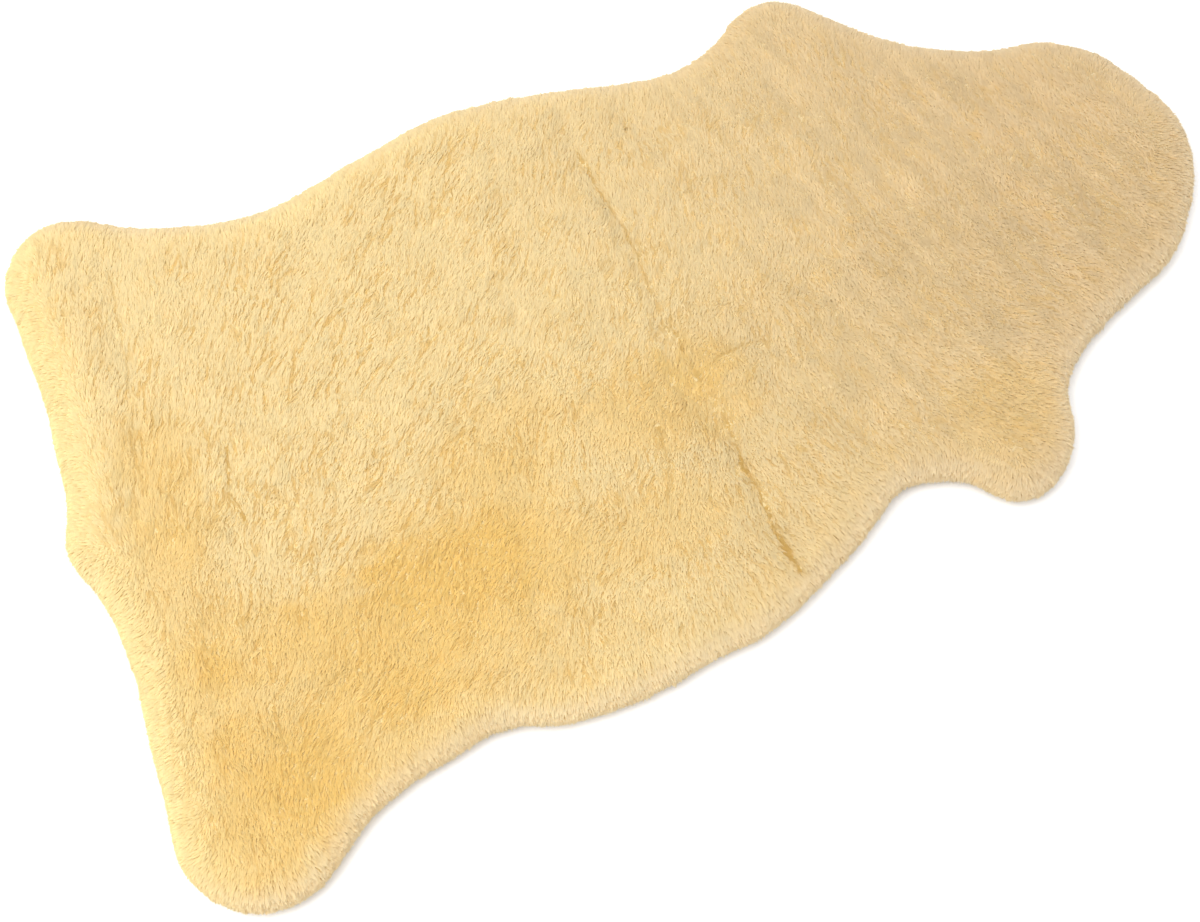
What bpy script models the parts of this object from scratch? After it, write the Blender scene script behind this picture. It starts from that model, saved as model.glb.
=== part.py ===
"""A sheepskin rug: one tanned hide with its clipped fleece, lying flat with the wool up.

The skin lies on its flesh side. +X runs along the spine from the tail to the neck, +Y is the animal's
left side and +Z is up. The origin is the middle of the rug's box, on the floor. Sizes are in metres,
and the tables are in millimetres.
"""

import math
import random
from typing import NamedTuple

import bmesh
import bpy
import numpy as np
from mathutils import Vector, noise
from mathutils.geometry import delaunay_2d_cdt

MM = 0.001

# Driving sizes
PILE_HEIGHT = 27.0 * MM  # floor to the top of the even fleece
LOCK_PITCH = 12.0 * MM  # along the rim
LOCK_SHARE = 0.76  # of the pitch that a lock's root takes, the rest parts it from the next
LOCK_REACH = 5.0 * MM  # mean length of a rim lock past the close fleece
LOCK_REACH_SPREAD = 2.4 * MM
LOCK_SHIFT = 0.09  # of the pitch that a lock's sides stray from their places
LOCK_TAPER = 0.34  # width of a lock's tip over its root
LOCK_DROOP = (0.7 * MM, 2.9 * MM)  # least and most that a tip hangs below its root
LOCK_SWING = math.radians(13)  # most that a lock leans sideways
TOP_SPACING = 16.0 * MM  # between the points of the fleece's upper surface
CREASE_STEP = 12.0 * MM
CLEAR_SHARE = 0.6  # of the spacing that two points of that surface keep apart
BANK_SHARE = 1.15  # of a crease's half width, out to the points on its banks
LUMP_SIZE = 52.0 * MM  # of the fleece's soft lumps
LUMP_HEIGHT = 1.7 * MM
TUFT_SIZE = 21.0 * MM
TUFT_HEIGHT = 0.9 * MM
SEED = 31


class Station(NamedTuple):
    """A like place on both sides of the skin's outline, in millimetres from the middle of its box."""

    place: str
    left_x: float
    left_y: float
    right_x: float
    right_y: float


TAIL_END = (-486.0, 12.0)
NECK_END = (489.0, -8.0)

# The outline of the wool, from the tail to the neck
STATIONS = (
    Station("tail", -470, 60, -471, -36),
    Station("rump", -465, 135, -465, -100),
    Station("thigh", -467, 205, -472, -195),
    Station("hind leg, back corner", -463, 268, -470, -262),
    Station("hind leg, tip", -433, 306, -430, -312),
    Station("hind leg, front corner", -390, 305, -382, -313),
    Station("stifle", -338, 272, -328, -280),
    Station("flank", -245, 242, -235, -263),
    Station("belly", -150, 254, -165, -279),
    Station("ribs", -68, 264, -80, -282),
    Station("chest", 30, 244, 0, -273),
    Station("elbow, back", 95, 223, 85, -240),
    Station("elbow", 134, 217, 139, -214),
    Station("fore leg, back corner", 172, 227, 174, -231),
    Station("fore leg, tip", 204, 247, 203, -260),
    Station("fore leg, front corner", 241, 246, 244, -259),
    Station("fore leg, front", 269, 219, 271, -231),
    Station("shoulder", 295, 184, 285, -196),
    Station("neck root", 333, 146, 320, -167),
    Station("neck", 384, 118, 372, -145),
    Station("nape corner", 427, 107, 424, -125),
    Station("nape", 465, 68, 469, -76),
)


class Ring(NamedTuple):
    """One turn of the rim, from the floor up."""

    place: str
    inset: float  # from the close fleece's outline, in millimetres
    height: float  # in millimetres
    at_each_lock_side: bool  # two points to a lock, or one


HIDE_INSET = 16.0
HIDE_THICKNESS = 1.8

RIM = (
    Ring("edge of the hide, below", HIDE_INSET, 0.0, False),
    Ring("edge of the hide, above", HIDE_INSET, HIDE_THICKNESS, False),
    Ring("wool under the edge", 6.0, 3.2, False),
    Ring("lower root of the locks", 0.8, 6.0, True),
    Ring("upper root of the locks", 0.0, 14.5, True),
    Ring("shoulder of the pile", 5.0, 21.5, False),
    Ring("crown of the pile", 14.0, 26.0, False),
)


class Crease(NamedTuple):
    """A parting or a fold's mark in the wool, as points across the skin in millimetres."""

    place: str
    depth: float
    half_width: float
    points: tuple[tuple[float, float], ...]


CREASES = (
    Crease(
        "fold across the middle",
        4.2,
        8.0,
        ((24, 214), (19, 140), (25, 88), (22, 20), (15, -54), (27, -104), (26, -170), (28, -252)),
    ),
    Crease("branch of the fold", 1.8, 7.0, ((24, -62), (52, -50), (88, -52))),
    Crease("short crease beside the fold", 2.0, 7.0, ((-23, -86), (-28, -120), (-47, -158))),
    Crease(
        "crease behind the ribs",
        1.6,
        11.0,
        ((-130, 200), (-98, 140), (-86, 70), (-85, 0), (-110, -64), (-142, -115)),
    ),
    Crease("parting on the rump", 3.0, 7.0, ((-337, 40), (-346, 6), (-353, -32))),
    Crease(
        "roll along the rump",
        2.2,
        13.0,
        ((-378, 236), (-388, 160), (-402, 80), (-424, 10), (-428, -60), (-424, -130), (-432, -190)),
    ),
)


class Swell(NamedTuple):
    """A broad rise, or a dip where it is negative, in millimetres."""

    place: str
    x: float
    y: float
    radius: float
    rise: float


SWELLS = (
    Swell("hollow of the right flank", -177, -99, 34, -1.9),
    Swell("hollow of the right loin", -264, -155, 30, -1.6),
    Swell("hollow by the rump parting", -374, 20, 26, -1.8),
    Swell("hollow of the right hind leg", -398, -252, 30, -2.4),
    Swell("hollow of the shoulder", 209, -37, 26, -1.5),
    Swell("hollow of the left fore leg", 252, 140, 28, -1.5),
    Swell("hollow by the fold", 12, -66, 22, -1.2),
    Swell("swell of the left loin", -212, -18, 44, 1.4),
    Swell("swell of the rump", -292, -60, 48, 1.3),
    Swell("swell of the ribs", -50, 50, 40, 1.2),
    Swell("swell before the fold", 86, 30, 46, 1.5),
    Swell("ridge of the neck", 266, 10, 40, 1.2),
    Swell("swell of the right belly", -60, -222, 30, 1.3),
)

# Colours are linear
WOOL_COLOUR = (0.87, 0.64, 0.33, 1.0)
WOOL_ROUGHNESS = 0.95
HIDE_COLOUR = (0.80, 0.66, 0.44, 1.0)
HIDE_ROUGHNESS = 0.88
HIDE_SLOT = 1  # the wool's slot is 0
SHARP_ANGLE = math.radians(50)


def clear_scene() -> None:
    """Remove every object of the scene."""
    for found in list(bpy.data.objects):
        bpy.data.objects.remove(found)


def plain_material(name: str, colour: tuple, roughness: float) -> bpy.types.Material:
    """Return a Principled material of one colour and roughness."""
    material = bpy.data.materials.new(name)
    material.use_nodes = True
    shader = material.node_tree.nodes["Principled BSDF"]
    shader.inputs["Base Color"].default_value = colour
    shader.inputs["Roughness"].default_value = roughness
    shader.inputs["Metallic"].default_value = 0.0
    material.diffuse_color = colour
    return material


def through(points: np.ndarray, closed: bool, steps: int = 14) -> np.ndarray:
    """Return a centripetal Catmull-Rom curve through the points, as a close row of points."""
    if closed:
        ends = np.vstack([points[-1], points, points[:2]])
    else:
        ends = np.vstack([2 * points[0] - points[1], points, 2 * points[-1] - points[-2]])
    row = []
    for before, start, end, after in zip(ends, ends[1:], ends[2:], ends[3:]):
        knots = [0.0]
        for a, b in ((before, start), (start, end), (end, after)):
            knots.append(knots[-1] + math.sqrt(np.linalg.norm(b - a)))
        for t in np.linspace(knots[1], knots[2], steps, endpoint=False):
            first = blend(before, start, knots[0], knots[1], t)
            second = blend(start, end, knots[1], knots[2], t)
            third = blend(end, after, knots[2], knots[3], t)
            low = blend(first, second, knots[0], knots[2], t)
            high = blend(second, third, knots[1], knots[3], t)
            row.append(blend(low, high, knots[1], knots[2], t))
    if not closed:
        row.append(points[-1])
    return np.array(row)


def blend(a: np.ndarray, b: np.ndarray, start: float, end: float, t: float) -> np.ndarray:
    """Return the point between a, at start, and b, at end."""
    return (a * (end - t) + b * (t - start)) / (end - start)


class Outline:
    """The close fleece's outline as a closed curve, read by the distance along it."""

    def __init__(self) -> None:
        """Lay the curve counter-clockwise through the stations, drawn in by the locks' mean reach."""
        right = [(s.right_x, s.right_y) for s in STATIONS]
        left = [(s.left_x, s.left_y) for s in reversed(STATIONS)]
        landmarks = np.array([TAIL_END, *right, NECK_END, *left]) * MM
        wool = through(landmarks, closed=True)
        wool = wool - self.outward(wool) * LOCK_REACH
        self.points = np.vstack([wool, wool[:1]])
        steps = np.linalg.norm(np.diff(self.points, axis=0), axis=1)
        self.along = np.concatenate([[0.0], np.cumsum(steps)])
        self.length = self.along[-1]
        self.normals = self.outward(wool)
        self.normals = np.vstack([self.normals, self.normals[:1]])

    @staticmethod
    def outward(row: np.ndarray) -> np.ndarray:
        """Return the outward direction at each point of a closed counter-clockwise row."""
        reach = 2
        tangent = np.roll(row, -reach, axis=0) - np.roll(row, reach, axis=0)
        tangent /= np.linalg.norm(tangent, axis=1)[:, None]
        return np.column_stack([tangent[:, 1], -tangent[:, 0]])

    def read(self, rows: np.ndarray, distance: float) -> Vector:
        """Return the value of rows at a distance along the curve."""
        at = distance % self.length
        return Vector([float(np.interp(at, self.along, rows[:, k])) for k in (0, 1)])

    def point(self, distance: float, inset: float) -> Vector:
        """Return the place at a distance along the curve, moved in by inset."""
        return self.read(self.points, distance) - self.read(self.normals, distance) * inset


def crease_rows() -> list[tuple[Crease, np.ndarray]]:
    """Return each crease with its close row of points, in metres."""
    return [(c, through(np.array(c.points) * MM, closed=False)) for c in CREASES]


def top_height(x: float, y: float, rows: list[tuple[Crease, np.ndarray]]) -> float:
    """Return how far the fleece's surface stands above, or below, its even height."""
    lumps = noise.noise(Vector((x, y, 0.0)) / LUMP_SIZE) * LUMP_HEIGHT * 2
    tufts = noise.noise(Vector((x, y, 0.4)) / TUFT_SIZE) * TUFT_HEIGHT * 2
    rise = lumps + tufts
    for swell in SWELLS:
        away = math.hypot(x - swell.x * MM, y - swell.y * MM) / (swell.radius * MM)
        rise += swell.rise * MM * math.exp(-away * away)
    for crease, row in rows:
        away = np.hypot(row[:, 0] - x, row[:, 1] - y).min() / (crease.half_width * MM)
        rise -= crease.depth * MM * math.exp(-away * away)
    return rise


def beside(row: np.ndarray, offset: float) -> np.ndarray:
    """Return a row moved sideways by offset."""
    tangent = np.gradient(row, axis=0)
    tangent /= np.linalg.norm(tangent, axis=1)[:, None]
    return row + np.column_stack([-tangent[:, 1], tangent[:, 0]]) * offset


def spaced(row: np.ndarray, step: float) -> list[Vector]:
    """Return points a step apart along a row."""
    along = np.concatenate([[0.0], np.cumsum(np.linalg.norm(np.diff(row, axis=0), axis=1))])
    count = max(2, round(along[-1] / step) + 1)
    return [
        Vector([float(np.interp(at, along, row[:, k])) for k in (0, 1)])
        for at in np.linspace(0, along[-1], count)
    ]


def inside(point: Vector, ring: np.ndarray) -> bool:
    """Tell whether a point lies inside a closed ring."""
    x, y = ring[:, 0] - point.x, ring[:, 1] - point.y
    next_x, next_y = np.roll(x, -1), np.roll(y, -1)
    crosses = (y > 0) != (next_y > 0)
    with np.errstate(divide="ignore", invalid="ignore"):
        at = x - y * (next_x - x) / (next_y - y)
    return bool(np.count_nonzero(crosses & (at > 0)) % 2)


def top_points(crown: list[Vector], rows: list[tuple[Crease, np.ndarray]]) -> list[Vector]:
    """Return the points of the top inside its crown: rows along the creases, then a hex grid."""
    ring = np.array([p[:] for p in crown])
    placed = [p[:] for p in crown]
    kept: list[Vector] = []

    def add(point: Vector, clearance: float) -> None:
        """Keep a point that is inside the crown and clear of those placed before it."""
        gaps = np.hypot(*(np.array(placed) - point[:]).T)
        if gaps.min() > clearance and inside(point, ring):
            kept.append(point)
            placed.append(point[:])

    for side in (0, -1, 1):  # the bottom of each crease, then its banks
        for crease, row in rows:
            for point in spaced(beside(row, side * crease.half_width * MM * BANK_SHARE), CREASE_STEP):
                add(point, CLEAR_SHARE * CREASE_STEP)
    row_gap = TOP_SPACING * math.sqrt(3) / 2
    low, high = ring.min(axis=0), ring.max(axis=0)
    for j in range(int((high[1] - low[1]) / row_gap) + 1):
        for i in range(int((high[0] - low[0]) / TOP_SPACING) + 1):
            shift = TOP_SPACING / 2 * (j % 2)
            point = Vector((low[0] + i * TOP_SPACING + shift, low[1] + j * row_gap))
            add(point, CLEAR_SHARE * TOP_SPACING)
    return kept


def filled(boundary: list[Vector], within: list[Vector]) -> list[tuple[int, ...]]:
    """Return triangles over a closed boundary and the points within it, as places in boundary + within."""
    count = len(boundary)
    edges = [(i, (i + 1) % count) for i in range(count)]
    found = delaunay_2d_cdt(boundary + within, edges, [], 1, 1e-7)
    if len(found[0]) != count + len(within):
        raise ValueError("the surface's points run into each other")
    source = [originals[0] for originals in found[3]]
    return [tuple(source[i] for i in face) for face in found[2]]


class Rim:
    """The turns of the rim, with one or two points to a lock, and the faces between them."""

    def __init__(self, outline: Outline, bm: bmesh.types.BMesh, rows: list) -> None:
        """Place every ring's points.

        Args:
            outline: the close fleece's outline.
            bm: the mesh that takes the points.
            rows: the creases, which run out over the rim's upper rings.
        """
        self.locks = round(outline.length / LOCK_PITCH)
        self.bm = bm
        pitch = outline.length / self.locks
        draws = random.Random(SEED)
        sides = [
            [(side, draws.uniform(-LOCK_SHIFT, LOCK_SHIFT)) for side in (0.0, LOCK_SHARE)]
            for _ in range(self.locks)
        ]
        self.rings: list[list[bmesh.types.BMVert]] = []
        for ring in RIM:
            if ring.at_each_lock_side:
                places = [(i + side + shift) * pitch for i in range(self.locks) for side, shift in sides[i]]
            else:
                places = [(i + LOCK_SHARE / 2) * pitch for i in range(self.locks)]
            share = max(0.0, (ring.height * MM - 0.5 * PILE_HEIGHT) / (0.5 * PILE_HEIGHT))
            turn = []
            for distance in places:
                at = outline.point(distance, ring.inset * MM)
                rise = top_height(at.x, at.y, rows) * share if share else 0.0
                turn.append(bm.verts.new((at.x, at.y, ring.height * MM + rise)))
            self.rings.append(turn)

    def lock_faces(self) -> list[bmesh.types.BMFace]:
        """Join each ring to the next, and return the faces that the locks grow from."""
        roots = []
        for k, (low, high) in enumerate(zip(self.rings, self.rings[1:])):
            doubled = (RIM[k].at_each_lock_side, RIM[k + 1].at_each_lock_side)
            for i in range(self.locks):
                j = (i + 1) % self.locks
                if doubled == (False, False):
                    self.bm.faces.new((low[i], low[j], high[j], high[i]))
                elif doubled == (True, True):
                    a, b, c = 2 * i, 2 * i + 1, 2 * j
                    roots.append(self.bm.faces.new((low[a], low[b], high[b], high[a])))
                    self.bm.faces.new((low[b], low[c], high[c], high[b]))
                elif doubled == (False, True):
                    self.bm.faces.new((low[i], high[2 * i + 1], high[2 * i]))
                    self.bm.faces.new((low[i], low[j], high[2 * j], high[2 * i + 1]))
                else:
                    self.bm.faces.new((low[2 * i], low[2 * i + 1], high[i]))
                    self.bm.faces.new((low[2 * i + 1], low[2 * j], high[j], high[i]))
        return roots


def grow_locks(bm: bmesh.types.BMesh, roots: list[bmesh.types.BMFace]) -> None:
    """Draw each root face out into a four-sided lock that narrows, leans and hangs a little."""
    draws = random.Random(SEED)
    for root in bmesh.ops.extrude_discrete_faces(bm, faces=roots)["faces"]:
        root.normal_update()
        outward = Vector((root.normal.x, root.normal.y, 0.0)).normalized()
        swing = draws.uniform(-LOCK_SWING, LOCK_SWING)
        reach = LOCK_REACH + draws.uniform(-1, 1) * LOCK_REACH_SPREAD
        droop = draws.uniform(*LOCK_DROOP)
        away = Vector(
            (
                outward.x * math.cos(swing) - outward.y * math.sin(swing),
                outward.x * math.sin(swing) + outward.y * math.cos(swing),
                -droop / reach,
            )
        )
        middle = root.calc_center_median()
        for corner in root.verts:
            corner.co = middle + (corner.co - middle) * LOCK_TAPER + away * reach


def make_sheepskin() -> bpy.types.Object:
    """Build the skin as one closed solid: flat hide, rolled rim with its locks, and lumpy fleece."""
    rows = crease_rows()
    outline = Outline()
    bm = bmesh.new()
    rim = Rim(outline, bm, rows)
    roots = rim.lock_faces()

    crown = rim.rings[-1]
    crown_places = [Vector(v.co.xy) for v in crown]
    within = top_points(crown_places, rows)
    top = crown + [
        bm.verts.new((p.x, p.y, PILE_HEIGHT + top_height(p.x, p.y, rows))) for p in within
    ]
    for face in filled(crown_places, within):
        bm.faces.new([top[i] for i in face])

    hide_edge = rim.rings[0]
    for face in filled([Vector(v.co.xy) for v in hide_edge], []):
        bm.faces.new([hide_edge[i] for i in reversed(face)])
    hide_turns = {*hide_edge, *rim.rings[1]}
    for face in bm.faces:
        if hide_turns.issuperset(face.verts):
            face.material_index = HIDE_SLOT

    grow_locks(bm, roots)
    places = np.array([v.co[:] for v in bm.verts])
    middle = (places.min(axis=0) + places.max(axis=0)) / 2
    bmesh.ops.translate(bm, verts=bm.verts, vec=(-middle[0], -middle[1], 0.0))
    bmesh.ops.recalc_face_normals(bm, faces=bm.faces)

    mesh = bpy.data.meshes.new("sheepskin")
    bm.to_mesh(mesh)
    bm.free()
    mesh.materials.append(plain_material("honey wool", WOOL_COLOUR, WOOL_ROUGHNESS))
    mesh.materials.append(plain_material("tanned hide", HIDE_COLOUR, HIDE_ROUGHNESS))
    mesh.shade_smooth()
    mesh.set_sharp_from_angle(angle=SHARP_ANGLE)
    skin = bpy.data.objects.new("sheepskin", mesh)
    bpy.context.scene.collection.objects.link(skin)
    return skin


def main() -> None:
    """Clear the scene and make the rug."""
    clear_scene()
    make_sheepskin()


main()
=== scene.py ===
import logging
import math
from collections.abc import Iterable
from dataclasses import dataclass, field
from enum import Enum
from typing import Any

import bpy
import numpy as np
from bpy.types import ID, Material, Node, NodeSocket, Object
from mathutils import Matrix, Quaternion, Vector
from mathutils.bvhtree import BVHTree
from mathutils.geometry import delaunay_2d_cdt


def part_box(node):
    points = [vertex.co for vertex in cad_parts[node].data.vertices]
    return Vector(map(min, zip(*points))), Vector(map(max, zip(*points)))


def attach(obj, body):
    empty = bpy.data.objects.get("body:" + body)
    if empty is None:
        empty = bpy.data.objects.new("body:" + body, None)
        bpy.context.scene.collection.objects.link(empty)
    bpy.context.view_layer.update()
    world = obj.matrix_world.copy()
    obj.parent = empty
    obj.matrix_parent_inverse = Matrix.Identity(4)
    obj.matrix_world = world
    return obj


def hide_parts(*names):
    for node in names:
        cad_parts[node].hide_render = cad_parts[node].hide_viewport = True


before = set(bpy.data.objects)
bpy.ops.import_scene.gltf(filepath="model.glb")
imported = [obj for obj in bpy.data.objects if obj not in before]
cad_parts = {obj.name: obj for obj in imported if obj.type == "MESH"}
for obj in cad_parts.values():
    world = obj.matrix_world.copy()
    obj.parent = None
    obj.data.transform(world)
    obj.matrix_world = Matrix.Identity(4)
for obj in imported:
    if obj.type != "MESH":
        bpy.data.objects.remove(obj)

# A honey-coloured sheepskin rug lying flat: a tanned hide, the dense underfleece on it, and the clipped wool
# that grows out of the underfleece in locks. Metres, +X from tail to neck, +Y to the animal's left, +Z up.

log = logging.getLogger("sheepskin")

MM = 0.001
NODE = "sheepskin"
BODY = "root"
WOOL_NUMBERS = ("tip", "tone", "deep", "cream_and_painted_light", "painted_rim_shade", "stain")
MIX_FACTOR, MIX_FIRST, MIX_SECOND, MIX_RESULT = 0, 6, 7, 2
TRIANGLES_INSIDE, CLOSEST = 1, 1e-7
BAKE_MAP = "OFBake"
UP = np.array([0.0, 0.0, 1.0])

Array = np.ndarray
Colour = tuple[float, float, float, float]
Pair = tuple[float, float]
Settings = dict[str, Any] | None
Sockets = dict[Any, Any] | None


def smooth(share: Array) -> Array:
    """Shares of 0 to 1, eased at both ends."""
    return share * share * (3.0 - 2.0 * share)


def eased(low: float, high: float, values: Array) -> Array:
    """Smooth step of values from 0 at low to 1 at high; low may be the larger."""
    return smooth(np.clip((values - low) / (high - low), 0.0, 1.0))


def unit(vectors: Array) -> Array:
    """The vectors, one a row, at length 1."""
    return vectors / np.maximum(np.linalg.norm(vectors, axis=1, keepdims=True), 1e-9)


def heading(angles: Array) -> Array:
    """Unit plan vectors at these angles, in radians."""
    return np.stack([np.cos(angles), np.sin(angles)], 1)


def turned(plan: Array, angle: float) -> Array:
    """Plan vectors, one a row, turned anticlockwise by an angle in radians."""
    cos, sin = np.cos(angle), np.sin(angle)
    return np.stack([plan[:, 0] * cos - plan[:, 1] * sin, plan[:, 0] * sin + plan[:, 1] * cos], 1)


def at_height(plan: Array, height: float) -> Array:
    """Plan points or vectors with one height for all."""
    return np.column_stack([plan, np.full(len(plan), height)])


def along_surface(vectors: Array, normals: Array) -> Array:
    """The part of each vector that lies along a surface with these normals."""
    return vectors - normals * (vectors * normals).sum(1, keepdims=True)


def signed_area(ring: Array) -> float:
    """The area inside a plan ring, positive where the ring runs anticlockwise."""
    x, y = ring.T
    return float((x * np.roll(y, -1) - y * np.roll(x, -1)).sum()) / 2


def crosses(points: Array, faces: Array) -> Array:
    """Each triangle's normal, with twice the triangle's area as its length."""
    a, b, c = (points[faces[:, k]] for k in range(3))
    return np.cross(b - a, c - a)


def bilinear(table: Array, low: Array, high: Array, part: Array) -> Array:
    """Numbers between the four nearest cells of a table.

    Args:
        table: the table.
        low: row and column of the cell before each place.
        high: row and column of the cell after it.
        part: how far each place is from the one to the other, 0 to 1.

    Returns:
        One number a place.
    """
    (i, j), (k, m), (along, across) = low.T, high.T, part.T
    near = table[i, j] * (1 - along) + table[k, j] * along
    far = table[i, m] * (1 - along) + table[k, m] * along
    return near * (1 - across) + far * across


def triangulated(ring: Array, inner: Iterable[Array] = ()) -> tuple[Array, Array]:
    """Fills a plan ring, and the points inside it, with triangles.

    Args:
        ring: its points, anticlockwise.
        inner: points inside it.

    Returns:
        The plan points, those of the ring first, and the triangles.
    """
    corners = [Vector(point) for point in (*ring, *inner)]
    made = delaunay_2d_cdt(corners, [], [list(range(len(ring)))], TRIANGLES_INSIDE, CLOSEST)
    return np.array([tuple(point) for point in made[0]]), np.array(made[2])


def strip(count: int, low: int, high: int) -> Array:
    """Joins two closed rings of points with triangles.

    Args:
        count: how many points each ring has.
        low: index of the lower ring's first point.
        high: index of the upper ring's first point.

    Returns:
        The triangles.
    """
    here = np.arange(count)
    after = (here + 1) % count
    first = np.column_stack([here + low, after + low, after + high])
    second = np.column_stack([here + low, after + high, here + high])
    return np.vstack([first, second])


class Value:
    """A number that varies over a surface; Python's operators on it add Math nodes."""

    def __init__(self, bench: "Bench", socket: NodeSocket) -> None:
        """Wraps an output socket of a bench's material."""
        self.bench = bench
        self.socket = socket

    def math(self, operation: str, *terms: "Value | float", clamp: bool = False) -> "Value":
        """Adds one Math node over the terms; clamp holds its result between 0 and 1."""
        settings = {"operation": operation, "use_clamp": clamp}
        return self.bench.value("ShaderNodeMath", settings, dict(enumerate(terms)))

    def __add__(self, other: "Value | float") -> "Value":
        """self + other."""
        return self.math("ADD", self, other)

    __radd__ = __add__

    def __sub__(self, other: "Value | float") -> "Value":
        """self - other."""
        return self.math("SUBTRACT", self, other)

    def __rsub__(self, other: float) -> "Value":
        """other - self."""
        return self.math("SUBTRACT", other, self)

    def __mul__(self, other: "Value | float") -> "Value":
        """self * other."""
        return self.math("MULTIPLY", self, other)

    __rmul__ = __mul__

    def __truediv__(self, other: "Value | float") -> "Value":
        """self / other."""
        return self.math("DIVIDE", self, other)

    def clamped(self) -> "Value":
        """self held between 0 and 1."""
        return self.math("ADD", self, 0.0, clamp=True)

    def eased(self, low: float, high: float) -> "Value":
        """Smooth step of self from 0 at low to 1 at high."""
        sockets = {"Value": self, "From Min": low, "From Max": high}
        return self.bench.value("ShaderNodeMapRange", {"interpolation_type": "SMOOTHSTEP"}, sockets)


class Bench:
    """One material and its nodes."""

    def __init__(self, name: str) -> None:
        """Starts an empty material.

        Args:
            name: the material's name.
        """
        self.material = bpy.data.materials.new(name)
        self.material.use_nodes = True
        self.tree = self.material.node_tree
        self.tree.nodes.clear()

    def node(self, kind: str, settings: Settings = None, sockets: Sockets = None) -> Node:
        """Adds a node.

        Args:
            kind: the node's type.
            settings: its properties, set first.
            sockets: values or links for its inputs, by name or index.

        Returns:
            The node.
        """
        made = self.tree.nodes.new(kind)
        for name, setting in (settings or {}).items():
            setattr(made, name, setting)
        for name, given in (sockets or {}).items():
            source = given.socket if isinstance(given, Value) else given
            if isinstance(source, NodeSocket):
                self.tree.links.new(source, made.inputs[name])
            else:
                made.inputs[name].default_value = source
        return made

    def value(self, kind: str, settings: Settings = None, sockets: Sockets = None) -> Value:
        """Adds a node, with the same arguments as node, and wraps its first output."""
        return Value(self, self.node(kind, settings, sockets).outputs[0])

    def attribute(self, name: str) -> Value:
        """A number stored on the mesh."""
        return Value(self, self.node("ShaderNodeAttribute", {"attribute_name": name}).outputs["Fac"])

    def here(self) -> NodeSocket:
        """A point of the rug, in its own space and in metres."""
        return self.node("ShaderNodeTexCoord").outputs["Object"]

    def place(self) -> tuple[Value, Value]:
        """The x and y of a point of the rug, in metres."""
        parts = self.node("ShaderNodeSeparateXYZ", None, {0: self.here()})
        return Value(self, parts.outputs[0]), Value(self, parts.outputs[1])

    def noise(self, size: float, detail: float = 2.0, roughness: float = 0.5) -> Value:
        """Noise of about 0 to 1 over the rug, in lumps of this size, in metres, with finer octaves."""
        sockets = {"Vector": self.here(), "Scale": 1.0 / size, "Detail": detail, "Roughness": roughness}
        return self.value("ShaderNodeTexNoise", None, sockets)

    def mixed(self, factor: Value | float, first: Any, second: Any) -> NodeSocket:
        """A colour from first, at factor 0, to second, at 1."""
        sockets = {MIX_FACTOR: factor, MIX_FIRST: first, MIX_SECOND: second}
        return self.node("ShaderNodeMix", {"data_type": "RGBA"}, sockets).outputs[MIX_RESULT]

    def scaled(self, colour: Any, factor: Value) -> NodeSocket:
        """A colour with each of its parts multiplied by the factor."""
        sockets = {"Vector": colour, "Scale": factor}
        return self.node("ShaderNodeVectorMath", {"operation": "SCALE"}, sockets).outputs[0]

    def bumped(self, height: Value, distance: float, strength: float) -> NodeSocket:
        """A normal raised by a height of 0 to 1, where 1 stands for the distance, in metres."""
        sockets = {"Height": height, "Distance": distance, "Strength": strength}
        return self.node("ShaderNodeBump", None, sockets).outputs[0]

    def finished(
        self, sockets: dict[str, Any], through: float = 0.0, through_colour: Colour = (1.0, 1.0, 1.0, 1.0)
    ) -> Material:
        """Closes the material with a Principled shader.

        Args:
            sockets: the shader's values and links.
            through: share of the light that passes through, as through fine fibres.
            through_colour: the tint that this light takes.

        Returns:
            The material.
        """
        surface = self.node("ShaderNodeBsdfPrincipled", None, sockets).outputs[0]
        if through > 0.0:
            glow = self.node("ShaderNodeBsdfTranslucent", None, {"Color": through_colour}).outputs[0]
            surface = self.node("ShaderNodeMixShader", None, {0: through, 1: surface, 2: glow}).outputs[0]
        self.node("ShaderNodeOutputMaterial", None, {"Surface": surface})
        return self.material


@dataclass(frozen=True)
class Patch:
    """An oval part of the fleece with its own tint; sizes in metres."""

    x: float
    y: float
    half_length: float
    half_width: float
    strength: float


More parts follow.
